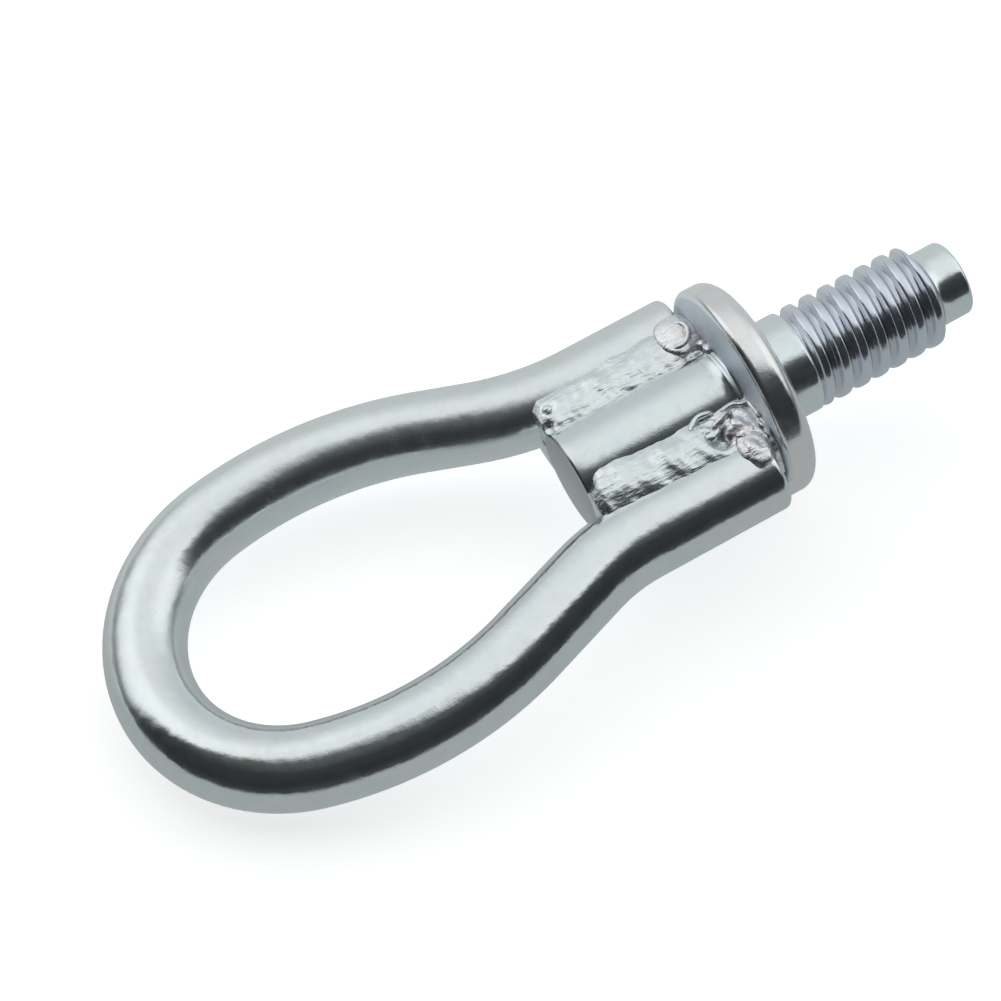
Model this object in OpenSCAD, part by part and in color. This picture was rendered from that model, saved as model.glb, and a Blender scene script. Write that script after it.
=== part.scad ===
// Screw-in tow eye: a turned stud with a coarse left-hand thread, and a round bar bent
// into a teardrop eye whose two legs are welded along the plain end of the stud.
// It lies as it comes to rest, on the far end of the eye and the rim of the collar.

/* [Eye bar] */
// Diameter of the round bar bent into the eye
bar_d = 14; // [10:0.5:20]
// Distance from the seat face of the collar to the bar's centre at the far end of the eye
eye_reach = 114.1; // [100:0.5:140]
// Root gap between each leg and the barrel, filled by the weld
root_gap = 0.05; // [0.02:0.01:0.4]

/* [Left side of the eye] */
// Gap between the left leg's end and the inner face of the collar
left_end_gap = 0.8; // [0.2:0.1:2.5]
// Distance from the seat face to where the left leg starts to bend outward
left_bend_start = 26; // [22:0.5:36]
// Radius of the outward bend on the left, at the bar's centre
left_bend_r = 51.8; // [25:0.5:60]
// Angle the left side opens to
left_open_angle = 22.3; // [16:0.1:26]
// Radius of the long left side, at the bar's centre
left_side_r = 66.6; // [50:0.5:80]
// Angle at which the left side passes into the tight end bend
left_shoulder_angle = 10.9; // [5:0.1:22]

/* [Right side of the eye] */
// Gap between the right leg's end and the inner face of the collar
right_end_gap = 1.6; // [0.2:0.1:2.5]
// Distance from the seat face to where the right leg starts to bend outward
right_bend_start = 32.6; // [22:0.5:36]
// Radius of the outward bend on the right, at the bar's centre
right_bend_r = 31.8; // [25:0.5:60]
// Angle the right side opens to
right_open_angle = 19.8; // [16:0.1:26]
// Radius of the long right side, at the bar's centre
right_side_r = 60.5; // [50:0.5:80]
// Angle at which the right side passes into the tight end bend
right_shoulder_angle = 17.8; // [5:0.1:22]

/* [Stud] */
// Diameter of the plain barrel between the legs
barrel_d = 18; // [15:0.1:22]
// Length of the barrel behind the collar
barrel_length = 31; // [20:0.5:40]
// Diameter of the collar
collar_d = 39.1; // [32:0.1:50]
// Thickness of the collar
collar_t = 6; // [4:0.1:9]
// Radius that rounds the collar's rim on the side of the eye
collar_inner_r = 1.2; // [0.5:0.1:1.5]
// Radius that rounds the collar's rim on the seat side
collar_outer_r = 2.9; // [1:0.1:3.2]
// Fillet between the barrel and the collar
barrel_fillet_r = 0.7; // [0.3:0.1:1.2]
// Diameter of the plain shank next to the seat face
shank_d = 18.2; // [14:0.1:20]
// Length of the plain shank
shank_length = 7.2; // [4:0.1:12]
// Fillet between the shank and the seat face
seat_fillet_r = 0.6; // [0.4:0.1:1]
// Diameter of the pilot nose
nose_d = 13.5; // [10:0.1:15]
// Length of the pilot nose past the thread
nose_length = 6.2; // [4:0.1:12]
// Radius that rounds the tip of the nose
nose_edge_r = 0.8; // [0.3:0.1:2]

/* [Thread] */
// Diameter over the crests of the thread
thread_d = 18.3; // [16:0.1:20]
// Depth of the thread from crest to root
thread_depth = 1.2; // [0.8:0.1:1.6]
// Distance from one crest to the next
pitch = 3.65; // [3:0.05:4.5]
// Length of the threaded part
thread_length = 25; // [18:0.1:30]
// Angle the whole thread is turned by about the stud's axis
thread_turn = 199; // [0:1:360]
// Share of the pitch taken by each rounded crest
crest_share = 0.42; // [0.3:0.01:0.5]
// Straight steps in one turn of the thread
turn_steps = 24; // [20:4:32]

/* [Weld beads] */
// Radius of a bead's ripples at its far end, about a middle line in the plane of the eye
bead_r = 7.5; // [7:0.1:8]
// Growth of the left beads' ripple radius up to the collar
left_bead_growth = 0.6; // [0:0.1:1.5]
// Growth of the right beads' ripple radius up to the collar
right_bead_growth = 1.1; // [0:0.1:1.5]
// Distance from the stud's axis to the middle of a left bead at the collar
left_bead_out = 11.5; // [10:0.1:13]
// Distance from the stud's axis to the middle of a right bead at the collar
right_bead_out = 12; // [10:0.1:13]
// Angle between a left bead and the leg it follows
left_bead_slant = 3; // [0:0.5:10]
// Angle between a right bead and the leg it follows
right_bead_slant = 7.5; // [0:0.5:10]
// Height above the plane of the eye that the weld reaches down to
bead_root = 0.8; // [0.4:0.1:2]
// Distance between two ripples
ripple_step = 2.7; // [2:0.1:3.5]
// Number of ripples in each bead
ripples = 10; // [7:1:11]
// Radius of the lump where a bead was started at the collar
lump_r = 4.4; // [3.6:0.1:5]
// Height of the lump's middle above the plane of the eye
lump_lift = 5.2; // [4.4:0.1:6]

/* [Hidden] */
bar_r = bar_d / 2;
run_r = bar_r + 0.01;
lap = 0.3;
barrel_r = barrel_d / 2;
leg_y = barrel_r + root_gap + run_r;
rest_run = eye_reach - collar_t + collar_inner_r;
rest_rise = collar_d / 2 - collar_inner_r;
rest_span = sqrt(pow(rest_run, 2) + pow(rest_rise, 2));
rest_angle = atan2(rest_rise, rest_run) + asin((collar_inner_r - run_r) / rest_span);
axis_lift = eye_reach * sin(rest_angle) + run_r;
thread_end = shank_length + thread_length;
nose_end = thread_end + nose_length;
root_r = thread_d / 2 - thread_depth;
left_side = [
    left_bend_start, left_bend_r, left_open_angle, left_side_r, left_shoulder_angle, left_end_gap
];
right_side = [
    right_bend_start, right_bend_r, right_open_angle, right_side_r, right_shoulder_angle, right_end_gap
];
left_bead = [bead_r, left_bead_growth, left_bead_out, left_bead_slant];
right_bead = [bead_r, right_bead_growth, right_bead_out, right_bead_slant];
tip_edge = nose_end - nose_edge_r;
tip_x = tip_edge * cos(rest_angle) + (nose_d / 2 - nose_edge_r) * sin(rest_angle) + nose_edge_r;
far_x = -eye_reach * cos(rest_angle) - run_r;
mid_x = (tip_x + far_x) / 2;
mid_y = (half_width(left_side) - half_width(right_side)) / 2;

// rise of a side's centre line above the leg, without its opening straight
function bend_rise(s, a) = leg_y + s[1] * (1 - cos(s[2])) + s[3] * (cos(a) - cos(s[2]));

// opening straight of a side that lets its end bend close the eye at eye_reach
function opening_straight(s) =
    let (k = (1 - sin(s[4])) / cos(s[4]))
    let (run = s[0] + (s[1] + s[3]) * sin(s[2]) + s[3] * sin(s[4]))
    (eye_reach - run - bend_rise(s, s[4]) * k) / (cos(s[2]) + sin(s[2]) * k);

// distance from the stud's axis to the bar's centre where a side is widest
function half_width(s) = bend_rise(s, 0) + opening_straight(s) * sin(s[2]);

// modelled along the stud's axis, then leaned to its resting attitude and centred
module at_rest() {
    translate([-mid_x, -mid_y, axis_lift])
        rotate([0, -rest_angle, 0])
            children();
}

// leg end, outward bend, opening straight, long side and end bend, in the eye plane
module bar_side(s) {
    bend_start = s[0];
    bend_r = s[1];
    open_a = s[2];
    side_r = s[3];
    shoulder_a = s[4];
    leg_end = collar_t + s[5];
    straight = opening_straight(s);
    end_r = (bend_rise(s, shoulder_a) + straight * sin(open_a)) / cos(shoulder_a);
    bend_end = [
        -bend_start - bend_r * sin(open_a),
        leg_y + bend_r * (1 - cos(open_a))
    ];
    side_c = [
        bend_end[0] - straight * cos(open_a) - side_r * sin(open_a),
        bend_end[1] + straight * sin(open_a) - side_r * cos(open_a)
    ];
    shoulder = [
        side_c[0] - side_r * sin(shoulder_a),
        side_c[1] + side_r * cos(shoulder_a)
    ];
    bar_run([-leg_end, leg_y], 180, 0, bend_start - leg_end + lap);
    bar_arc([-bend_start, leg_y + bend_r], bend_r, 270 - open_a, open_a);
    bar_run(bend_end, 180 - open_a, lap, straight + lap);
    bar_arc(side_c, side_r, 90 - open_a, open_a + shoulder_a);
    bar_run(shoulder, 180 + shoulder_a, lap, lap);
    bar_arc([end_r - eye_reach, 0], end_r, 90 + shoulder_a, 90 - shoulder_a);
}

// straight run of bar through a point, reaching back and on along its heading
module bar_run(at, heading, back, on) {
    translate([at[0], at[1], 0])
        rotate([0, 0, heading])
            translate([-back, 0, 0])
                rotate([0, 90, 0])
                    cylinder(h = back + on, r = run_r, $fn = 64);
}

// bar bent about a centre from one angle through a sweep, a hair short at both ends
module bar_arc(centre, r, from_a, sweep_a) {
    short = lap / 2 / r * 180 / PI;
    translate([centre[0], centre[1], 0])
        rotate([0, 0, from_a + short])
            rotate_extrude(angle = sweep_a - 2 * short, $fn = 128)
                translate([r, 0])
                    circle(r = bar_r, $fn = 64);
}

// the whole bent bar in the stud's axes
module bent_bar() {
    bar_run([-eye_reach, 0], 90, lap, lap);
    bar_side(left_side);
    mirror([0, 1, 0])
        bar_side(right_side);
}

// half outline of barrel, fillet and collar, drawn beside the turning axis
module collar_outline() {
    translate([0, -collar_t - barrel_length])
        square([barrel_r, barrel_length + 1]);
    translate([0, -collar_t])
        square([collar_d / 2 - collar_outer_r, collar_t]);
    translate([0, -collar_t])
        square([collar_d / 2 - collar_inner_r, collar_t - collar_outer_r]);
    translate([0, collar_inner_r - collar_t])
        square([collar_d / 2, collar_t - collar_inner_r - collar_outer_r]);
    translate([collar_d / 2 - collar_inner_r, collar_inner_r - collar_t])
        circle(r = collar_inner_r, $fn = 48);
    translate([collar_d / 2 - collar_outer_r, -collar_outer_r])
        circle(r = collar_outer_r, $fn = 48);
    difference() {
        translate([barrel_r - 0.5, -collar_t - barrel_fillet_r])
            square([barrel_fillet_r + 0.5, barrel_fillet_r + 0.5]);
        translate([barrel_r + barrel_fillet_r, -collar_t - barrel_fillet_r])
            circle(r = barrel_fillet_r, $fn = 48);
    }
}

// half outline of the plain shank and the pilot nose
module shank_outline() {
    translate([0, -1])
        square([shank_d / 2, shank_length + 1]);
    difference() {
        translate([shank_d / 2 - 0.5, -0.5])
            square([seat_fillet_r + 0.5, seat_fillet_r + 0.5]);
        translate([shank_d / 2 + seat_fillet_r, seat_fillet_r])
            circle(r = seat_fillet_r, $fn = 48);
    }
    translate([0, shank_length - 1])
        square([nose_d / 2, nose_end - nose_edge_r - shank_length + 1]);
    translate([0, nose_end - nose_edge_r - 1])
        square([nose_d / 2 - nose_edge_r, nose_edge_r + 1]);
    translate([nose_d / 2 - nose_edge_r, nose_end - nose_edge_r])
        circle(r = nose_edge_r, $fn = 48);
}

// height of the thread form, 0 at the root and 1 on the crest, for a share u of the pitch
function thread_form(u) =
    let (d = abs(u - 0.5), flank = 0.5 - crest_share / 2 - 0.12)
    d < crest_share / 2 ? 1 - 0.18 * pow(2 * d / crest_share, 2) :
    max(0, 0.82 * (1 - (d - crest_share / 2) / flank));

// crest height allowed at height z: it fades in from the shank and stops short of the nose
function crest_limit(z) =
    min(1, max(0, (z - shank_length + 1.2) / 3), max(0, (thread_end - z) / 1.3));

// coarse left-hand thread with its solid core, upright on the turning axis
module thread_body() {
    points_round = [0, 0.12, 0.29, 0.36, 0.43, 0.5, 0.57, 0.64, 0.71, 0.88];
    start_z = shank_length - 1.2;
    steps = ceil((thread_end - start_z) / pitch * turn_steps);
    n = len(points_round);
    rings = [
        for (i = [0:steps])
            let (z = start_z + (thread_end - start_z) * i / steps)
            for (u = points_round)
                let (a = thread_turn + 360 * (u - z / pitch))
                let (r = root_r + thread_depth * thread_form(u) * crest_limit(z))
                [r * cos(a), r * sin(a), z]
    ];
    skin = [
        for (i = [0:steps - 1])
            for (j = [0:n - 1])
                let (k = (j + 1) % n)
                for (t = [[i * n + j, (i + 1) * n + k, i * n + k],
                          [i * n + j, (i + 1) * n + j, (i + 1) * n + k]])
                    t
    ];
    bottom = [[for (j = [0:n - 1]) j]];
    top = [[for (j = [n - 1:-1:0]) steps * n + j]];
    polyhedron(points = rings, faces = concat(skin, bottom, top));
}

// one-piece turned stud along +X with the collar's seat face at the origin
module stud_body() {
    rotate([0, 90, 0]) {
        rotate_extrude($fn = 128)
            collar_outline();
        rotate_extrude($fn = 96)
            shank_outline();
        thread_body();
    }
}

// radius of one ripple of a bead, largest at the collar, each a little different from the next
function ripple_r(b, i, lean) =
    (b[0] + b[1] * (1 - i / (ripples - 1))) * (1 + 0.03 * sin(i * 131 + lean));

// half outline of the ripples of a bead, drawn from the collar down to its far end
module ripple_outline(b, lean) {
    intersection() {
        union() {
            for (i = [0:ripples - 1])
                translate([0, -i * ripple_step - 0.3 * sin(i * 97 + lean)])
                    circle(r = ripple_r(b, i, lean), $fn = 48);
        }
        translate([0, -100])
            square([20, 120]);
    }
}

// weld bead on one face, cut away where the bar, the barrel and the collar are
module bead(side, face, b, lean) {
    difference() {
        intersection() {
            union() {
                translate([-collar_t - 1.4, side * b[2], 0])
                    rotate([0, 0, side * b[3]])
                        rotate([0, 90, 0])
                            rotate_extrude($fn = 48)
                                ripple_outline(b, lean);
                translate([-collar_t - 3.2, side * (b[2] - 1.6), face * lump_lift])
                    sphere(r = lump_r, $fn = 48);
            }
            translate([-collar_t - barrel_length + 0.3, -50, face > 0 ? bead_root : -bead_root - 20])
                cube([barrel_length + 0.2, 100, 20]);
        }
        bar_run([-collar_t + 1, side * leg_y], 180, 0, barrel_length + 20);
        rotate([0, 90, 0])
            rotate_extrude($fn = 128)
                collar_outline();
    }
}

module eye_loop() {
    color([0.78, 0.8, 0.82])
        at_rest()
            bent_bar();
}

module threaded_stud() {
    color([0.74, 0.76, 0.8])
        at_rest()
            stud_body();
}

module weld_left_top() {
    color([0.84, 0.83, 0.82])
        at_rest()
            bead(1, 1, left_bead, 120);
}

module weld_right_top() {
    color([0.84, 0.83, 0.82])
        at_rest()
            bead(-1, 1, right_bead, 120);
}

module weld_left_bottom() {
    color([0.84, 0.83, 0.82])
        at_rest()
            bead(1, -1, left_bead, 80);
}

module weld_right_bottom() {
    color([0.84, 0.83, 0.82])
        at_rest()
            bead(-1, -1, right_bead, 120);
}

eye_loop();
threaded_stud();
weld_left_top();
weld_right_top();
weld_left_bottom();
weld_right_bottom();
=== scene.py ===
import math
from math import cos, pi, radians, sin
from types import SimpleNamespace

import bmesh
import bpy
from mathutils import Matrix, Vector, noise


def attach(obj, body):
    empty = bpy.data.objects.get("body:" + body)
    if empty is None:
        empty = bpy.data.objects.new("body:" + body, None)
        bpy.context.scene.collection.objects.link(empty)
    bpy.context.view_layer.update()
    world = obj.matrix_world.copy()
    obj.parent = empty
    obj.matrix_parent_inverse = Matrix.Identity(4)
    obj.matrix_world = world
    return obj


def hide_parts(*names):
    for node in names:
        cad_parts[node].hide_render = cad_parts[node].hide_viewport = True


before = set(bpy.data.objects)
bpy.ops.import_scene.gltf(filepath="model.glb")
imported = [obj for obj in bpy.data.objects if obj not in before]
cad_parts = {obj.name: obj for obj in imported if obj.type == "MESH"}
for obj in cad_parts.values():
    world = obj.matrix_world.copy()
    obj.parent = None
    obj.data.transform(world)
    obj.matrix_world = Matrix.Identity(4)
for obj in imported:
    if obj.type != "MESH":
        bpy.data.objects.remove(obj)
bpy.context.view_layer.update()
print("frame loaded:", sorted(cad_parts))

# where the stud's axis lies once the part is at rest, in millimetres and degrees
rest = {
    "lean": 6.5253,
    "shift": (40.7691, -0.7941, 19.9766),
}
toRow = (
    Matrix.Scale(0.001, 4)
    @ Matrix.Translation(rest["shift"])
    @ Matrix.Rotation(radians(-rest["lean"]), 4, "Y")
)


def smoothStep(low, high, value):
    t = min(1.0, max(0.0, (value - low) / (high - low)))
    return t * t * (3 - 2 * t)


def arcPoints(centre, radius, fromAngle, toAngle, steps):
    # points along an arc in the (axial, radial) plane of a turned profile
    points = []
    for i in range(steps + 1):
        a = radians(fromAngle + (toAngle - fromAngle) * i / steps)
        points.append((centre[0] + radius * cos(a), centre[1] + radius * sin(a)))
    return points


def drawOut(bm, edges, step):
    # extrudes a ring of edges by one step and gives back the new ring
    made = bmesh.ops.extrude_edge_only(bm, edges=edges)["geom"]
    verts = {g for g in made if isinstance(g, bmesh.types.BMVert)}
    bmesh.ops.translate(bm, verts=list(verts), vec=step)
    return [
        g for g in made
        if isinstance(g, bmesh.types.BMEdge) and g.verts[0] in verts and g.verts[1] in verts
    ]


def eachShell(bm):
    # the faces of one connected shell after another
    waiting = set(bm.faces)
    while waiting:
        front = [waiting.pop()]
        shell = []
        while front:
            face = front.pop()
            shell.append(face)
            near = {f for e in face.edges for f in e.link_faces} & waiting
            waiting -= near
            front += near
        yield shell


def insideOut(shell):
    # a closed shell whose faces point inwards has a negative volume
    volume = 0
    for face in shell:
        first = face.verts[0].co
        for a, b in zip(face.verts[1:], face.verts[2:]):
            volume += first.dot(a.co.cross(b.co))
    return volume < 0


def finishPiece(bm, name, material, node):
    # turns a mesh modelled in stud axes outwards and hands it to the frame
    bmesh.ops.recalc_face_normals(bm, faces=bm.faces[:])
    for shell in eachShell(bm):
        if insideOut(shell):
            bmesh.ops.reverse_faces(bm, faces=shell)
    bmesh.ops.transform(bm, matrix=toRow, verts=bm.verts[:])
    mesh = bpy.data.meshes.new(name)
    bm.to_mesh(mesh)
    bm.free()
    for face in mesh.polygons:
        face.use_smooth = True
    mesh.materials.append(material)
    piece = bpy.data.objects.new(name, mesh)
    bpy.context.scene.collection.objects.link(piece)
    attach(piece, "root")
    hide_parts(node)
    print(name, "made,", len(mesh.polygons), "faces")


# shading nodes

def opaque(colour):
    return (*colour, 1)


def shadeTools(tree):
    # makers of nodes: a socket is linked, and any other value is set on the input itself
    nodes, links = tree.nodes, tree.links

    def feed(socket, value):
        if isinstance(value, bpy.types.NodeSocket):
            links.new(value, socket)
        else:
            socket.default_value = value

    def calc(operation, a, b=0.0, c=0.0):
        n = nodes.new("ShaderNodeMath")
        n.operation = operation
        for socket, value in zip(n.inputs, (a, b, c)):
            feed(socket, value)
        return n.outputs[0]

    def vector(operation, a, b=(0.0, 0.0, 0.0)):
        n = nodes.new("ShaderNodeVectorMath")
        n.operation = operation
        feed(n.inputs[0], a)
        feed(n.inputs[1], b)
        return n.outputs["Value" if operation in ("DOT_PRODUCT", "LENGTH") else "Vector"]

    def spread(value, fromSpan, toSpan=(0.0, 1.0), kind="LINEAR"):
        n = nodes.new("ShaderNodeMapRange")
        n.interpolation_type = kind
        n.inputs["From Min"].default_value = fromSpan[0]
        n.inputs["From Max"].default_value = fromSpan[1]
        n.inputs["To Min"].default_value = toSpan[0]
        n.inputs["To Max"].default_value = toSpan[1]
        links.new(value, n.inputs["Value"])
        return n.outputs["Result"]

    def ease(value, fromSpan):
        return spread(value, fromSpan, kind="SMOOTHSTEP")

    def blend(factor, a, b, kind="RGBA", how="MIX"):
        n = nodes.new("ShaderNodeMix")
        n.data_type = kind
        n.blend_type = how
        feed(n.inputs["Factor"], factor)
        feed(n.inputs["A"], a)
        feed(n.inputs["B"], b)
        return n.outputs["Result"]

    def ramp(value, stops, kind="LINEAR"):
        n = nodes.new("ShaderNodeValToRGB")
        elements = n.color_ramp.elements
        elements[0].position, elements[0].color = stops[0][0], opaque(stops[0][1])
        elements[1].position, elements[1].color = stops[-1][0], opaque(stops[-1][1])
        for position, colour in stops[1:-1]:
            elements.new(position).color = opaque(colour)
        n.color_ramp.interpolation = kind
        links.new(value, n.inputs["Fac"])
        return n.outputs["Color"]

    def cloud(place, scale, detail, rough, distortion=0.0):
        n = nodes.new("ShaderNodeTexNoise")
        n.inputs["Scale"].default_value = scale
        n.inputs["Detail"].default_value = detail
        n.inputs["Roughness"].default_value = rough
        n.inputs["Distortion"].default_value = distortion
        links.new(place, n.inputs["Vector"])
        return n.outputs["Fac"]

    def mapped(place, scale, turn=0.0):
        n = nodes.new("ShaderNodeMapping")
        n.inputs["Scale"].default_value = scale
        n.inputs["Rotation"].default_value = (0, 0, radians(turn))
        links.new(place, n.inputs["Vector"])
        return n.outputs["Vector"]

    return SimpleNamespace(
        calc=calc, vector=vector, spread=spread, ease=ease,
        blend=blend, ramp=ramp, cloud=cloud, mapped=mapped,
    )


# zinc plating

plating = {
    "reach": 40,  # zones lie within this distance of the collar's seat face, in mm
    "tintNoise": (3.0, 0.55),  # detail and roughness of each noise
    "filmNoise": (6.0, 0.7),
    "roughNoise": (4.0, 0.6),
    "grainNoise": (2.0, 0.5),
    "streakNoise": (5.0, 0.5, 0.8),
    # painted shade in the thread's grooves: the radii over which it fades out, and its colour
    "grooveShadeRadii": (7.9, 8.9),
    "grooveShadeColour": (0.62, 0.655, 0.72),
    "filmShare": (0.5, 0.68),
    "filmColour": (0.70, 0.64, 0.60),
    "filmDulling": 0.3,
    "roughShare": (0.3, 0.7),
    "farSide": (-0.012, 0.012),
    "squareness": (0.96, 0.99),
}
barLook = {
    "zones": [(-40, (0.84, 0.89, 0.895)), (40, (0.84, 0.89, 0.895))],
    "filmScale": 0.22,
    "film": 0.16,
    "tintScale": 0.12,
    "tints": [(0.32, (0.95, 0.96, 0.98)), (0.5, (1.0, 1.0, 1.0)), (0.7, (0.98, 0.97, 0.95))],
    "roughScale": 0.35,
    "roughness": (0.10, 0.17),
    "farDulling": 0.09,
    "faceRough": 0.3,
    "bumps": [(0.16, 0.14), (0.6, 0.03), (3.2, 0.012)],
}
studLook = {
    # barrel's end face, barrel, collar's inner face, rim, shank, thread and nose; the collar's inner face is
    # tinted brighter and bluer as a painted highlight, and the thread darker as painted shade
    "zones": [
        (-40, (0.56, 0.58, 0.59)), (-36.8, (0.82, 0.89, 0.90)), (-6.8, (0.88, 0.95, 1.0)),
        (-5.8, (0.89, 0.885, 0.885)), (0.3, (0.83, 0.91, 0.92)), (7.4, (0.75, 0.80, 0.88)),
        (32.3, (0.84, 0.92, 0.92)),
    ],
    # where along the stud the thread's grooves get painted shade
    "shadedGrooveSpan": (7.4, 32.3),
    "filmScale": 0.25,
    "film": 0.2,
    "tintScale": 0.2,
    "tints": [(0.32, (0.95, 0.96, 1.0)), (0.5, (1.0, 1.0, 1.0)), (0.7, (1.0, 0.97, 0.98))],
    "roughScale": 0.5,
    "roughness": (0.12, 0.2),
    "faceRough": 0.6,
    "bumps": [(0.5, 0.03), (3.2, 0.012)],
}
weldLook = {
    # the run of the weld and its end at the collar
    "zones": [(-40, (0.86, 0.92, 0.93)), (-13, (0.93, 0.92, 0.935))],
    "filmScale": 0.4,
    "film": 0.2,
    "tintScale": 0.35,
    "tints": [(0.32, (0.92, 0.95, 0.98)), (0.5, (1.0, 1.0, 1.0)), (0.72, (1.0, 0.97, 0.97))],
    "roughScale": 0.8,
    "roughness": (0.18, 0.30),
    "faceRough": 0.3,
    "streakTurn": 14.0,
    "bumps": [(0.5, 0.09), (1.0, 0.22, 4.5), (2.4, 0.02)],
}


def makeZinc(name, look):
    material = bpy.data.materials.new(name)
    material.use_nodes = True
    nodes = material.node_tree.nodes
    links = material.node_tree.links
    tools = shadeTools(material.node_tree)
    shader = nodes["Principled BSDF"]
    shader.inputs["Metallic"].default_value = 1.0
    coords = nodes.new("ShaderNodeTexCoord").outputs["Object"]
    inMm = tools.mapped(coords, (1000, 1000, 1000))

    # place along the stud's axis, whose origin is the collar's seat face
    lean = radians(rest["lean"])
    axis = Vector((cos(lean), 0, sin(lean)))
    seat = axis.dot(Vector(rest["shift"]))
    reach = plating["reach"]
    place = tools.spread(tools.vector("DOT_PRODUCT", inMm, axis), (seat - reach, seat + reach))

    def byZone(zones):
        return tools.ramp(place, [((x + reach) / (2 * reach), c) for x, c in zones], kind="CONSTANT")

    tint = tools.ramp(tools.cloud(inMm, look["tintScale"], *plating["tintNoise"]), look["tints"])
    colour = tools.blend(1.0, byZone(look["zones"]), tint, how="MULTIPLY")

    # painted shade in the thread's grooves: darker by distance from the stud's axis
    if "shadedGrooveSpan" in look:
        across = tools.vector("CROSS_PRODUCT", tools.vector("SUBTRACT", inMm, rest["shift"]), axis)
        depth = tools.spread(tools.vector("LENGTH", across), plating["grooveShadeRadii"], (1.0, 0.0))
        start, end = look["shadedGrooveSpan"]
        inThread = byZone([(-reach, (0, 0, 0)), (start, (1, 1, 1)), (end, (0, 0, 0))])
        colour = tools.blend(tools.calc("MULTIPLY", depth, inThread), colour, opaque(plating["grooveShadeColour"]))

    # patches of thin brownish film, duller than the rest
    filmCloud = tools.cloud(inMm, look["filmScale"], *plating["filmNoise"])
    film = tools.spread(filmCloud, plating["filmShare"], (0.0, look["film"]))
    colour = tools.blend(film, colour, opaque(plating["filmColour"]))
    links.new(colour, shader.inputs["Base Color"])

    roughCloud = tools.cloud(inMm, look["roughScale"], *plating["roughNoise"])
    rough = tools.spread(roughCloud, plating["roughShare"], look["roughness"])
    rough = tools.calc("MULTIPLY_ADD", film, plating["filmDulling"], rough)
    # the plating is a little duller on the far side of the eye
    if "farDulling" in look:
        farSide = tools.vector("DOT_PRODUCT", coords, (0, 1, 0))
        rough = tools.calc("ADD", rough, tools.spread(farSide, plating["farSide"], (0.0, look["farDulling"])))
    # faces square to the stud are duller, being turned or cropped before plating
    normal = nodes.new("ShaderNodeNewGeometry").outputs["Normal"]
    square = tools.calc("ABSOLUTE", tools.vector("DOT_PRODUCT", normal, axis))
    rough = tools.blend(tools.spread(square, plating["squareness"]), rough, look["faceRough"], kind="FLOAT")
    links.new(rough, shader.inputs["Roughness"])

    # broad unevenness first, then the pebbly grain of the plating on top of it
    # a third number draws the noise out into streaks
    relief = None
    for scale, depth, *stretch in look["bumps"]:
        if stretch:
            drawn = tools.mapped(coords, (1000 / stretch[0], 1000, 1000), look["streakTurn"])
            height = tools.cloud(drawn, scale, *plating["streakNoise"])
        else:
            height = tools.cloud(inMm, scale, *plating["grainNoise"])
        bump = nodes.new("ShaderNodeBump")
        bump.inputs["Strength"].default_value = 1.0
        bump.inputs["Distance"].default_value = depth * 0.001
        links.new(height, bump.inputs["Height"])
        if relief:
            links.new(relief, bump.inputs["Normal"])
        relief = bump.outputs["Normal"]
    links.new(relief, shader.inputs["Normal"])
    return material


barZinc = makeZinc("barZinc", barLook)
studZinc = makeZinc("studZinc", studLook)
weldZinc = makeZinc("weldZinc", weldLook)
print("materials made")


# the bent bar

bar = {
    "radius": 7.0,
    "reach": 114.1,
    "leftEnd": 6.8,
    "rightEnd": 7.6,
    "legY": 16.06,
    "left": {"bendStart": 26.0, "bendR": 51.8, "open": 22.3, "sideR": 66.6, "shoulder": 10.9},
    "right": {"bendStart": 32.6, "bendR": 31.8, "open": 19.8, "sideR": 60.5, "shoulder": 17.8},
    "ringSegments": 56,
    "ringStep": 1.5,
    "endRound": 1.2,
}


def sidePath(side):
    # the closing straight and end bend follow from the other sizes, as in the part's source
    a = radians(side["open"])
    s = radians(side["shoulder"])
    k = (1 - sin(s)) / cos(s)
    rise = bar["legY"] + side["bendR"] * (1 - cos(a)) + side["sideR"] * (cos(s) - cos(a))
    run = side["bendStart"] + (side["bendR"] + side["sideR"]) * sin(a) + side["sideR"] * sin(s)
    straight = (bar["reach"] - run - rise * k) / (cos(a) + sin(a) * k)
    endR = (rise + straight * sin(a)) / cos(s)
    bendX = -side["bendStart"] - side["bendR"] * sin(a)
    bendY = bar["legY"] + side["bendR"] * (1 - cos(a))
    return {
        "straight": straight,
        "bendCentre": Vector((-side["bendStart"], bar["legY"] + side["bendR"], 0)),
        "sideCentre": Vector((
            bendX - straight * cos(a) - side["sideR"] * sin(a),
            bendY + straight * sin(a) - side["sideR"] * cos(a),
            0,
        )),
        "endCentre": Vector((endR - bar["reach"], 0, 0)),
        "endR": endR,
    }


def mirrored(point):
    return Vector((point.x, -point.y, point.z))


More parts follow.
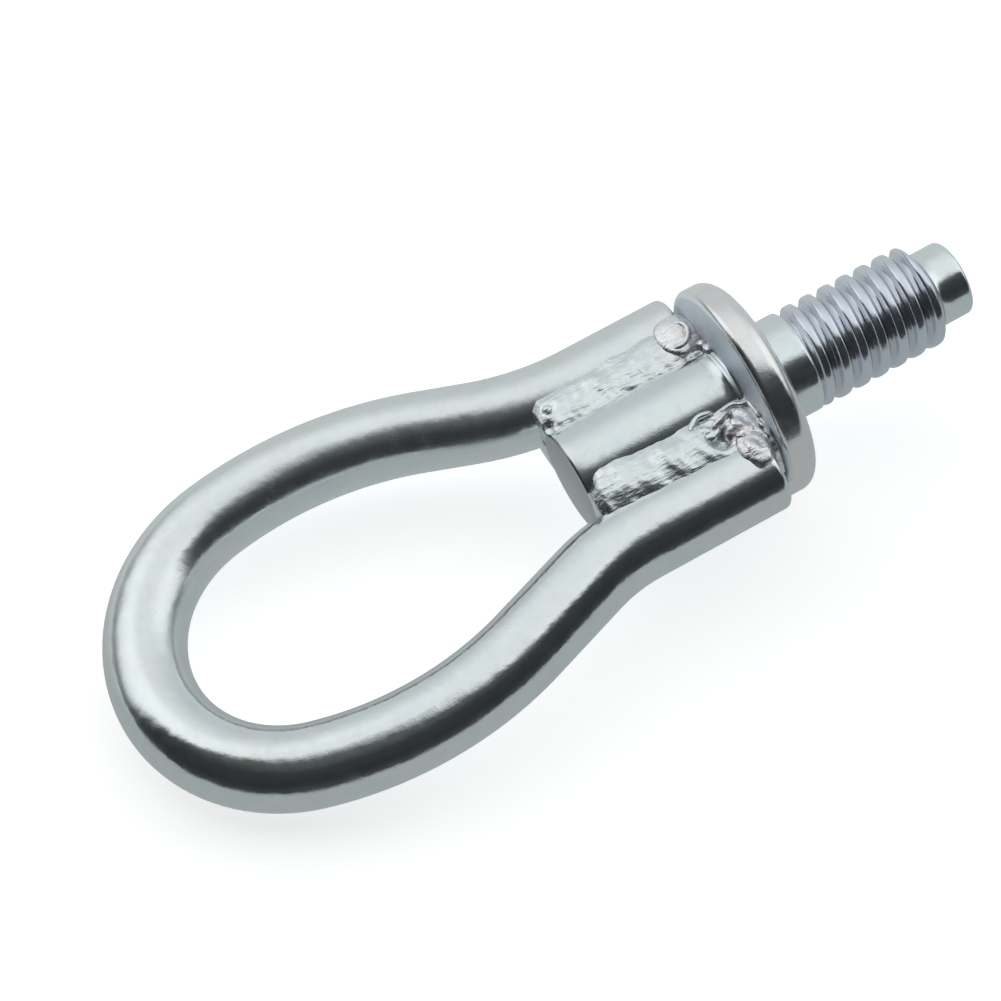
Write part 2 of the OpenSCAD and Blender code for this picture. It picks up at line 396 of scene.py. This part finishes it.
def makeBar():
    bm = bmesh.new()
    bmesh.ops.create_circle(
        bm, segments=bar["ringSegments"], radius=bar["radius"],
        matrix=Matrix.Translation((-bar["leftEnd"], bar["legY"], 0)) @ Matrix.Rotation(pi / 2, 4, "Y"),
    )
    current = bm.edges[:]

    def goStraight(length, heading):
        nonlocal current
        steps = max(1, round(length / bar["ringStep"]))
        step = Vector((cos(radians(heading)), sin(radians(heading)), 0)) * (length / steps)
        for _ in range(steps):
            current = drawOut(bm, current, step)

    def goRound(centre, radius, angle):
        nonlocal current
        steps = max(2, round(abs(radians(angle)) * radius / bar["ringStep"]))
        made = bmesh.ops.spin(
            bm, geom=current, cent=centre, axis=(0, 0, 1), angle=radians(angle),
            steps=steps, use_duplicate=False,
        )
        current = [g for g in made["geom_last"] if isinstance(g, bmesh.types.BMEdge)]

    left, right = bar["left"], bar["right"]
    leftPath, rightPath = sidePath(left), sidePath(right)
    goStraight(left["bendStart"] - bar["leftEnd"], 180)
    goRound(leftPath["bendCentre"], left["bendR"], -left["open"])
    goStraight(leftPath["straight"], 180 - left["open"])
    goRound(leftPath["sideCentre"], left["sideR"], left["open"] + left["shoulder"])
    goRound(leftPath["endCentre"], leftPath["endR"], 90 - left["shoulder"])
    goRound(rightPath["endCentre"], rightPath["endR"], 90 - right["shoulder"])
    goRound(mirrored(rightPath["sideCentre"]), right["sideR"], right["shoulder"] + right["open"])
    goStraight(rightPath["straight"], right["open"])
    goRound(mirrored(rightPath["bendCentre"]), right["bendR"], -right["open"])
    goStraight(right["bendStart"] - bar["rightEnd"], 0)

    # cropped leg ends with their edges knocked off
    bmesh.ops.remove_doubles(bm, verts=bm.verts[:], dist=0.001)
    openEdges = [e for e in bm.edges if e.is_boundary]
    caps = bmesh.ops.holes_fill(bm, edges=openEdges, sides=0)["faces"]
    rims = list(dict.fromkeys(e for f in caps for e in f.edges))
    bmesh.ops.bevel(
        bm, geom=rims, offset=bar["endRound"], segments=3, profile=0.5, affect="EDGES",
        material=-1, clamp_overlap=True,
    )
    finishPiece(bm, "bentBar", barZinc, "eye_loop")


makeBar()


# the turned stud

stud = {
    "barrelR": 9.0,
    "barrelEnd": -37.0,
    "barrelChamfer": 0.5,
    "barrelRing": 2,
    "shoulderR": 9.22,
    "shoulderX": -7.3,
    "shoulderFoot": 0.15,
    "shoulderEdge": [(0.0, 0.06), (0.1, 0.0)],  # distance past the shoulder's start and depth below it
    "filletR": 0.6,
    "collarR": 19.55,
    "collarT": 6.0,
    "faceRing": 13.0,
    "innerRimR": 1.2,
    "outerRimR": 2.9,
    "shankR": 9.1,
    "shankRings": (2.5, 4.5, 6.4),
    "shankEdge": [(0.25, 0.05), (0.0, 0.3)],  # distance before the shank's end and depth below it
    "shankLength": 7.2,
    "seatFilletR": 0.6,
    # the core under the thread: depth below the roots, gap to both ends and taper to the nose
    "coreDepth": 0.25,
    "coreGap": 0.2,
    "coreTaper": 1.0,
    "noseR": 6.75,
    "noseRings": (2, 4.5),
    "noseEnd": 38.4,
    "noseEdgeR": 0.8,
    "noseFaceR": 2.0,
    "turnSegments": 144,
}
thread = {
    "crestR": 9.15,
    "depth": 1.2,
    "pitch": 3.65,
    "end": 32.2,
    "crestShare": 0.34,
    "rootShare": 0.41,
    "crown": 1.5,
    "turnSteps": 72,
    "profileSteps": 16,
    "shift": -1.25,
    "fadeIn": (-1.2, 1.6),  # from the shank's end
    "fadeOut": (-1.1, -0.1),  # from the thread's end
    "dive": (0.6, 1.2),  # where the skin starts down at its end, and how steeply
    "tuck": (1.0, 0.4),  # where the skin starts inside the shank, and how deep
    "stop": (0.8, 0.3),  # where the skin stops inside the nose, and how deep
}


def threadForm(u):
    # 0 at the root and 1 on the crest, for a share u of the pitch
    d = abs(u - 0.5)
    return (1 - thread["crown"] * d * d) * (1 - smoothStep(thread["crestShare"] / 2, thread["rootShare"], d))


def studProfile(rootR):
    # (axial, radial) points from the barrel's end face to the nose
    s = stud
    chamfer, seat, shankEnd, threadEnd = s["barrelChamfer"], -s["collarT"], s["shankLength"], thread["end"]
    inner, outer, rim, edge = s["innerRimR"], s["outerRimR"], s["collarR"], s["noseEdgeR"]
    core = rootR - s["coreDepth"]
    profile = [(s["barrelEnd"], 0.0)]
    profile += arcPoints((s["barrelEnd"] + chamfer, s["barrelR"] - chamfer), chamfer, 180, 90, 4)
    x = s["barrelEnd"] + s["barrelRing"]
    while x < s["shoulderX"]:
        profile.append((x, s["barrelR"]))
        x += s["barrelRing"]
    profile.append((s["shoulderX"] - s["shoulderFoot"], s["barrelR"]))
    profile += [(s["shoulderX"] + past, s["shoulderR"] - drop) for past, drop in s["shoulderEdge"]]
    profile += arcPoints((seat - s["filletR"], s["shoulderR"] + s["filletR"]), s["filletR"], 270, 360, 6)
    profile.append((seat, s["faceRing"]))
    profile += arcPoints((seat + inner, rim - inner), inner, 180, 90, 8)
    profile += arcPoints((-outer, rim - outer), outer, 90, 0, 14)
    profile.append((0.0, s["faceRing"]))
    profile += arcPoints((s["seatFilletR"], s["shankR"] + s["seatFilletR"]), s["seatFilletR"], 180, 270, 5)
    profile += [(x, s["shankR"]) for x in s["shankRings"]]
    profile += [(shankEnd - before, s["shankR"] - drop) for before, drop in s["shankEdge"]]
    profile += [(shankEnd + s["coreGap"], core), (threadEnd - s["coreTaper"], core)]
    profile.append((threadEnd - s["coreGap"], s["noseR"]))
    profile += [(threadEnd + x, s["noseR"]) for x in s["noseRings"]]
    profile += arcPoints((s["noseEnd"] - edge, s["noseR"] - edge), edge, 90, 0, 6)
    profile += [(s["noseEnd"], s["noseFaceR"]), (s["noseEnd"], 0.0)]
    return profile


def makeThread(rootR):
    # one pitch of the thread's skin, carried round and along as a left-hand screw
    skin = bmesh.new()
    shankEnd, end, pitch = stud["shankLength"], thread["end"], thread["pitch"]
    startX = shankEnd + thread["fadeIn"][0] - pitch + thread["shift"]
    turns = (end + 2 * pitch - startX) / pitch
    line = []
    for i in range(thread["profileSteps"] + 1):
        u = i / thread["profileSteps"]
        line.append(skin.verts.new((startX + u * pitch, rootR + thread["depth"] * threadForm(u), 0)))
    lineEdges = [skin.edges.new(pair) for pair in zip(line[:-1], line[1:])]
    steps = int(turns * thread["turnSteps"])
    bmesh.ops.spin(
        skin, geom=line + lineEdges, cent=(0, 0, 0), axis=(1, 0, 0),
        angle=-2 * pi * steps / thread["turnSteps"], steps=steps,
        dvec=(pitch / thread["turnSteps"], 0, 0),
    )
    bmesh.ops.remove_doubles(skin, verts=skin.verts[:], dist=0.01)
    fadeIn = [shankEnd + x for x in thread["fadeIn"]]
    fadeOut = [end + x for x in thread["fadeOut"]]
    dive, slope = thread["dive"]
    tuck, tuckDepth = thread["tuck"]
    stop, stopDepth = thread["stop"]
    for v in skin.verts:
        x, r = v.co.x, math.hypot(v.co.y, v.co.z)
        fade = smoothStep(*fadeIn, x) * (1 - smoothStep(*fadeOut, x))
        target = rootR + (r - rootR) * fade
        if x > end - dive:
            target -= (x - end + dive) * slope
        if x < shankEnd - tuck:
            x = shankEnd - tuck
            target = rootR - tuckDepth
        if x > end + stop:
            x = end + stop
            target = stud["noseR"] - stopDepth
        v.co = (x, v.co.y * target / r, v.co.z * target / r)
    # both ends are now rings inside the shank and the nose
    bmesh.ops.remove_doubles(skin, verts=skin.verts[:], dist=0.001)
    bmesh.ops.holes_fill(skin, edges=[e for e in skin.edges if e.is_boundary], sides=0)
    mesh = bpy.data.meshes.new("threadSkin")
    skin.to_mesh(mesh)
    skin.free()
    return mesh


def makeStud():
    bm = bmesh.new()
    rootR = thread["crestR"] - thread["depth"]
    verts = [bm.verts.new((x, r, 0)) for x, r in studProfile(rootR)]
    edges = [bm.edges.new(pair) for pair in zip(verts[:-1], verts[1:])]
    bmesh.ops.spin(
        bm, geom=verts + edges, cent=(0, 0, 0), axis=(1, 0, 0), angle=2 * pi,
        steps=stud["turnSegments"], use_merge=True,
    )
    bmesh.ops.remove_doubles(bm, verts=bm.verts[:], dist=0.001)
    skin = makeThread(rootR)
    bm.from_mesh(skin)
    bpy.data.meshes.remove(skin)
    finishPiece(bm, "turnedStud", studZinc, "threaded_stud")


makeStud()


# weld beads

weld = {
    "step": 0.35,
    "segments": 96,
    "tubeR": 7.5,
    "flatness": 0.72,
    "innerHeight": 0.5,
    "closing": (0.72, 6.0),  # share of the radius at the open end, and the length over which it closes
    "ripplePitch": 1.9,
    "rippleHeight": 0.05,
    "rippleMean": 0.7,
    "rippleBow": 7,
    "rippleDrift": (0.16, 1.0),
    "lumpHeight": 0.42,
    "lumpScale": (0.3, 2.2),
    "grainHeight": 0.07,
    "grainScale": (0.9, 5, 7),
    # the lumps' swelling as share and scale, the whorl on them and how flat their tops are
    "swell": (0.35, 1.7),
    "fineSwell": (0.15, 4.5),
    "whorl": (0.016, 11),
    "topFlatness": 0.6,
    "pitFloor": 5,
    "curlSides": 12,
    "curlSteps": 6,
    "curlTip": 0.03,
    "curlBluntness": 5,
}
# place along the stud, middle's distance from its axis, and radius about that middle
leftSeam = [(-6.2, 10.6, 7.5), (-12.0, 10.5, 7.4), (-22.0, 10.2, 7.25), (-33.0, 10.0, 7.1), (-36.9, 9.8, 6.9)]
rightSeam = [(-6.2, 10.4, 7.9), (-12.0, 9.7, 7.75), (-20.0, 8.7, 7.75), (-34.0, 7.0, 7.7), (-36.9, 8.0, 7.1)]
# centre, half sizes and roughness of the lumps at the collar and the spatter beside the weld
leftLumps = [
    ((-8.9, 11.1, 6.1), (4.1, 4.7, 2.0), 0.2),
    ((-6.3, 5.6, 7.6), (0.9, 1.0, 0.9), 0.2),
    ((-6.6, 7.1, 7.2), (0.8, 0.9, 1.0), 0.2),
    ((-34.6, 10.6, 6.4), (0.95, 0.95, 0.95), 0.02),
]
rightLumps = [
    ((-9.7, -15.0, 4.9), (3.1, 4.3, 3.1), 0.22),
    ((-9.4, -9.8, 5.4), (3.3, 3.8, 2.6), 0.5),
    ((-14.6, -8.0, 5.7), (3.2, 2.3, 1.9), 0.5),
    ((-6.7, -12.2, 6.0), (1.1, 3.0, 2.0), 0.4),
]
# curls of run-over metal: the radius and the points along each one
leftCurls = [
    (0.6, [(-8.9, 14.0, 7.3), (-7.4, 12.4, 7.8), (-7.2, 10.7, 7.9), (-8.2, 9.2, 7.8), (-9.8, 8.6, 7.7),
           (-11.2, 9.2, 7.4)]),
]
rightCurls = [
    (0.5, [(-17.3, -7.0, 7.5), (-16.3, -6.0, 7.3), (-14.8, -5.2, 7.4), (-13.3, -5.3, 7.4),
           (-12.1, -5.6, 7.3)]),
    (0.5, [(-14.0, -8.7, 7.9), (-12.7, -8.1, 8.0), (-11.3, -7.7, 8.0), (-10.2, -7.5, 7.9),
           (-10.0, -8.4, 7.8)]),
    (0.45, [(-11.0, -6.2, 7.3), (-8.7, -6.1, 7.4), (-7.4, -7.0, 7.6), (-6.4, -7.3, 7.7),
            (-6.3, -8.8, 7.8), (-6.3, -10.4, 7.8), (-6.5, -11.4, 7.4)]),
]
# place, radius and depth of the pits
leftPits = [(-35.9, 7.9, 0.8, 0.7)]
rightPits = [(-13.4, -10.9, 1.7, 2.0), (-36.0, -6.2, 1.0, 0.6)]
beads = {
    "leftTopBead": {
        "node": "weld_left_top", "seam": leftSeam, "side": 1, "face": 1,
        "lumps": leftLumps, "curls": leftCurls, "pits": leftPits, "seed": 3.1,
    },
    "rightTopBead": {
        "node": "weld_right_top", "seam": rightSeam, "side": -1, "face": 1,
        "lumps": rightLumps, "curls": rightCurls, "pits": rightPits, "seed": 11.7,
    },
    "leftBottomBead": {
        "node": "weld_left_bottom", "seam": leftSeam, "side": 1, "face": -1,
        "lumps": leftLumps[:1], "curls": [], "pits": [], "seed": 21.3,
    },
    "rightBottomBead": {
        "node": "weld_right_bottom", "seam": rightSeam, "side": -1, "face": -1,
        "lumps": rightLumps[:1], "curls": [], "pits": [], "seed": 34.9,
    },
}


def alongSeam(seam, x):
    # middle and radius at a place along the bead
    for (x0, c0, r0), (x1, c1, r1) in zip(seam[:-1], seam[1:]):
        if x >= x1:
            t = (x0 - x) / (x0 - x1)
            return c0 + (c1 - c0) * t, r0 + (r1 - r0) * t
    return seam[-1][1], seam[-1][2]


def addRun(bm, bead):
    # the rippled run of the weld: a tube whose points are moved onto the bead's skin
    seam, side, face, seed = bead["seam"], bead["side"], bead["face"], bead["seed"]
    fromX, toX = seam[0][0], seam[-1][0]
    length = fromX - toX
    steps = round(length / weld["step"])
    bmesh.ops.create_circle(
        bm, segments=weld["segments"], radius=weld["tubeR"],
        matrix=Matrix.Translation((fromX, 0, 0)) @ Matrix.Rotation(pi / 2, 4, "Y"),
    )
    current = bm.edges[:]
    for _ in range(steps):
        current = drawOut(bm, current, (-length / steps, 0, 0))
    openShare, closingLength = weld["closing"]
    driftScale, drift = weld["rippleDrift"]
    lumpAlong, lumpRound = weld["lumpScale"]
    grainAlong, grainSkew, grainRound = weld["grainScale"]
    for v in bm.verts:
        x = v.co.x
        middle, radius = alongSeam(seam, x)
        angle = math.atan2(v.co.y, v.co.z)
        along = fromX - x
        closing = math.sqrt(min(1.0, max(0.0, openShare + (length - along) / closingLength)))
        wander = noise.noise(Vector((along * driftScale, seed, 0))) * drift
        phase = (along + weld["rippleBow"] * (1 - cos(angle)) + wander) / weld["ripplePitch"]
        ripple = 0.5 + 0.5 * cos(2 * pi * phase)
        lump = noise.noise(Vector((along * lumpAlong, angle * lumpRound, seed + 7))) * weld["lumpHeight"]
        grainPlace = Vector((along * grainAlong + angle * grainSkew, angle * grainRound, seed))
        grain = noise.noise(grainPlace) * weld["grainHeight"]
        r = (radius + weld["rippleHeight"] * (ripple - weld["rippleMean"]) + lump + grain) * closing
        y = side * (middle + r * sin(angle))
        z = max(weld["innerHeight"], r * max(0.0, cos(angle)) ** weld["flatness"])
        for pitX, pitY, pitR, depth in bead["pits"]:
            if z > weld["pitFloor"]:
                z -= depth * math.exp(-((x - pitX) ** 2 + (y - pitY) ** 2) / pitR ** 2)
        v.co = (x, y, face * z)
    openEdges = [e for e in bm.edges if e.is_boundary]
    bmesh.ops.holes_fill(bm, edges=openEdges, sides=0)


def addLump(bm, bead, centre, halves, rough):
    share, scale = weld["swell"]
    fineShare, fineScale = weld["fineSwell"]
    whorl, whorlTurns = weld["whorl"]
    ball = bmesh.ops.create_icosphere(bm, subdivisions=4, radius=1.0)["verts"]
    for v in ball:
        n = v.co.copy()
        swell = 1 + rough * share * noise.noise(n * scale + Vector((bead["seed"], 0, 0)))
        swell += rough * fineShare * noise.noise(n * fineScale + Vector((0, bead["seed"], 0)))
        swell += whorl * cos(whorlTurns * math.hypot(n.x, n.y) + math.atan2(n.y, n.x))
        top = math.copysign(abs(n.z) ** weld["topFlatness"], n.z)
        v.co = (
            centre[0] + halves[0] * n.x * swell,
            centre[1] + halves[1] * n.y * swell,
            bead["face"] * (centre[2] + halves[2] * top * swell),
        )


def smoothLine(points, steps):
    # points along a smooth line through the given ones
    points = [Vector(p) for p in points]
    guide = [2 * points[0] - points[1]] + points + [2 * points[-1] - points[-2]]
    line = []
    for a, b, c, d in zip(guide, guide[1:], guide[2:], guide[3:]):
        for k in range(steps):
            t = k / steps
            line.append(0.5 * (
                2 * b + (c - a) * t + (2 * a - 5 * b + 4 * c - d) * t * t + (3 * b - a - 3 * c + d) * t ** 3
            ))
    return line + [points[-1]]


def addCurl(bm, radius, points):
    # a rounded thread of metal, narrower at its ends
    line = smoothLine(points, weld["curlSteps"])
    last = len(line) - 1
    before = []
    for i, p in enumerate(line):
        along = line[min(i + 1, last)] - line[max(i - 1, 0)]
        taper = math.sqrt(max(weld["curlTip"], 1 - abs(2 * i / last - 1) ** weld["curlBluntness"]))
        turn = along.to_track_quat("Z", "Y").to_matrix().to_4x4()
        ring = bmesh.ops.create_circle(
            bm, cap_ends=i in (0, last), segments=weld["curlSides"], radius=radius * taper,
            matrix=Matrix.Translation(p) @ turn,
        )["verts"]
        edges = list(dict.fromkeys(e for v in ring for e in v.link_edges))
        if before:
            bmesh.ops.bridge_loops(bm, edges=before + edges)
        before = edges


def makeBead(name, bead):
    bm = bmesh.new()
    addRun(bm, bead)
    for lump in bead["lumps"]:
        addLump(bm, bead, *lump)
    for curl in bead["curls"]:
        addCurl(bm, *curl)
    finishPiece(bm, name, weldZinc, bead["node"])


for name, bead in beads.items():
    makeBead(name, bead)


# floor, surroundings and camera

studio = {
    "floorHalf": 3.0,
    "floorShown": 0.93,
    "floorGlow": 0.62,
    "tentRadius": 2.8,
    "tentSegments": 64,
    "tentRings": 32,
    "sheetHalf": 2.5,
    "sheetLift": 0.0001,
    # the grey sheet's painted shadow fades to paler over the first span, and the sheet ends over the second,
    # in metres along their headings
    "sheetPale": (-0.01, 0.07),
    "sheetEnd": (0.10, 0.17),
    # the sheet's colours near the part, where it is darker as painted shadow, and beyond it, and where the
    # tent meets it
    "sheetShadowNear": (0.375, 0.40, 0.40),
    "sheetBeyond": (0.55, 0.58, 0.58),
    "horizon": (0.16, 0.175, 0.18),
    # the tent by height, as the sine of its elevation, behind the part and at its sides
    "tentBack": [
        (0.0, (0.565, 0.59, 0.60)), (0.42, (0.575, 0.60, 0.61)), (0.57, (0.61, 0.635, 0.645)),
        (0.71, (0.69, 0.715, 0.72)), (0.82, (0.76, 0.785, 0.785)), (0.94, (0.82, 0.845, 0.845)),
    ],
    "tentSide": [
        (0.1, (0.40, 0.42, 0.43)), (0.26, (0.52, 0.55, 0.56)), (0.42, (0.84, 0.865, 0.875)),
        (0.62, (0.97, 0.99, 1.0)), (0.82, (1.0, 1.02, 1.02)), (0.95, (0.83, 0.85, 0.85)),
    ],
    # the dark flat on the camera's side by height
    "flat": [
        (0.0, (0.036, 0.039, 0.041)), (0.26, (0.026, 0.028, 0.030)), (0.45, (0.032, 0.034, 0.036)),
        (0.7, (0.038, 0.041, 0.043)), (0.87, (0.09, 0.095, 0.097)),
    ],
    "flatHeading": -120.0,
    "flatEdge": (-0.06, 0.12),
    "flatTop": (0.74, 0.87),
    "crestHeading": -135.0,
    "crestHeight": 0.18,
    "besideEdge": (-0.85, -0.35),
    "besideTop": (0.14, 0.32),
    "backEdge": (-0.96, -0.62),
    "sheetHeading": 80.0,
}


def headingVector(degrees):
    return (cos(radians(degrees)), sin(radians(degrees)), 0)


def surroundings(tools, direction):
    # the studio's colour in a direction: a tall dark flat on the camera's side, a soft bright tent elsewhere
    calc, ease, blend = tools.calc, tools.ease, tools.blend
    up = tools.vector("DOT_PRODUCT", direction, (0, 0, 1))
    level = calc("SQRT", calc("MAXIMUM", calc("SUBTRACT", 1.0, calc("MULTIPLY", up, up)), 0.0004))

    def toward(heading):
        return calc("DIVIDE", tools.vector("DOT_PRODUCT", direction, headingVector(heading)), level)

    flatward = toward(studio["flatHeading"])
    facing = calc("MAXIMUM", toward(studio["crestHeading"]), 0.0)
    crown = calc("MULTIPLY", calc("SQRT", facing), studio["crestHeight"])
    overTop = ease(calc("SUBTRACT", up, crown), studio["flatTop"])
    isFlat = calc("MULTIPLY", ease(flatward, studio["flatEdge"]), calc("SUBTRACT", 1.0, overTop))
    lowDown = calc("SUBTRACT", 1.0, ease(up, studio["besideTop"]))
    beside = calc("MULTIPLY", ease(flatward, studio["besideEdge"]), lowDown)
    back, sides = tools.ramp(up, studio["tentBack"]), tools.ramp(up, studio["tentSide"])
    tent = blend(ease(flatward, studio["backEdge"]), back, sides)
    tent = blend(beside, tent, opaque(studio["horizon"]))
    return blend(isFlat, tent, tools.ramp(up, studio["flat"]))


def stageMesh(name, bm, material):
    mesh = bpy.data.meshes.new(name)
    bm.to_mesh(mesh)
    bm.free()
    mesh.materials.append(material)
    thing = bpy.data.objects.new(name, mesh)
    bpy.context.scene.collection.objects.link(thing)
    return thing


def makeFloor():
    # pale to every ray: a white matt that also glows a little
    material = bpy.data.materials.new("paleFloor")
    material.use_nodes = True
    nodes = material.node_tree.nodes
    links = material.node_tree.links
    nodes.clear()
    pale = nodes.new("ShaderNodeBsdfDiffuse")
    pale.inputs["Color"].default_value = opaque((studio["floorShown"],) * 3)
    glow = nodes.new("ShaderNodeEmission")
    glow.inputs["Strength"].default_value = studio["floorGlow"]
    both = nodes.new("ShaderNodeAddShader")
    out = nodes.new("ShaderNodeOutputMaterial")
    links.new(pale.outputs[0], both.inputs[0])
    links.new(glow.outputs[0], both.inputs[1])
    links.new(both.outputs[0], out.inputs["Surface"])
    bm = bmesh.new()
    bmesh.ops.create_grid(bm, x_segments=1, y_segments=1, size=studio["floorHalf"])
    stageMesh("floor", bm, material)


def makeCard(name, bm, shadeOf):
    # a glowing card that stands out of the picture and is there only for the metal to mirror
    material = bpy.data.materials.new(name)
    material.use_nodes = True
    nodes = material.node_tree.nodes
    links = material.node_tree.links
    nodes.clear()
    place = nodes.new("ShaderNodeNewGeometry").outputs["Position"]
    glow = nodes.new("ShaderNodeEmission")
    out = nodes.new("ShaderNodeOutputMaterial")
    links.new(shadeOf(shadeTools(material.node_tree), place), glow.inputs["Color"])
    links.new(glow.outputs[0], out.inputs["Surface"])
    material.cycles.emission_sampling = "NONE"
    card = stageMesh(name, bm, material)
    card.visible_camera = False
    card.visible_diffuse = False
    card.visible_shadow = False


def tentShade(tools, place):
    return surroundings(tools, tools.vector("NORMALIZE", place))


def paintedSheetShade(tools, place):
    # painted shade of the floor as the metal mirrors it: darker near the part as painted shadow, paler beyond
    # it, and dark where it ends on the camera's side
    away = tools.vector("DOT_PRODUCT", place, headingVector(studio["sheetHeading"]))
    pale = tools.ease(away, studio["sheetPale"])
    shade = tools.blend(pale, opaque(studio["sheetShadowNear"]), opaque(studio["sheetBeyond"]))
    reach = tools.vector("DOT_PRODUCT", place, headingVector(studio["flatHeading"]))
    return tools.blend(tools.ease(reach, studio["sheetEnd"]), shade, opaque(studio["flat"][0][1]))


def makeCards():
    tent = bmesh.new()
    bmesh.ops.create_uvsphere(
        tent, u_segments=studio["tentSegments"], v_segments=studio["tentRings"], radius=studio["tentRadius"],
    )
    makeCard("tent", tent, tentShade)
    # the grey sheet lies just over the floor and is seen only in the metal, with the floor's shade and the
    # part's shadow painted on it
    sheet = bmesh.new()
    bmesh.ops.create_grid(
        sheet, x_segments=1, y_segments=1, size=studio["sheetHalf"],
        matrix=Matrix.Translation((0, 0, studio["sheetLift"])),
    )
    makeCard("paintedShadeSheet", sheet, paintedSheetShade)


def makeSurroundings():
    # white where it is seen, in the metal too, and the tent's soft light for all else
    world = bpy.data.worlds.new("studioWorld")
    bpy.context.scene.world = world
    world.use_nodes = True
    world.cycles.sampling_method = "NONE"
    nodes = world.node_tree.nodes
    links = world.node_tree.links
    nodes.clear()
    tools = shadeTools(world.node_tree)
    direction = nodes.new("ShaderNodeTexCoord").outputs["Generated"]
    path = nodes.new("ShaderNodeLightPath")
    mirrors = tools.calc("MAXIMUM", path.outputs["Is Glossy Ray"], path.outputs["Is Transmission Ray"])
    seen = tools.calc("MAXIMUM", path.outputs["Is Camera Ray"], mirrors)
    background = nodes.new("ShaderNodeBackground")
    out = nodes.new("ShaderNodeOutputWorld")
    shade = tools.blend(seen, surroundings(tools, direction), (1, 1, 1, 1))
    links.new(shade, background.inputs["Color"])
    links.new(background.outputs[0], out.inputs["Surface"])


# the photo's viewpoint, in metres and degrees
viewpoint = {
    "lens": 91.487,
    "sensor": 36,
    "near": 0.01,
    "place": (-0.10867, -0.22000, 0.36193),
    "turn": (35.0623, 2.5031, -27.9991),
}


def makeCamera():
    data = bpy.data.cameras.new("photoCamera")
    data.lens = viewpoint["lens"]
    data.sensor_width = viewpoint["sensor"]
    data.clip_start = viewpoint["near"]
    camera = bpy.data.objects.new("photoCamera", data)
    camera.location = viewpoint["place"]
    camera.rotation_euler = [radians(a) for a in viewpoint["turn"]]
    bpy.context.scene.collection.objects.link(camera)
    bpy.context.scene.camera = camera


makeFloor()
makeCards()
makeSurroundings()
makeCamera()
bpy.context.scene.view_settings.view_transform = "Standard"
print("floor, surroundings and camera made")
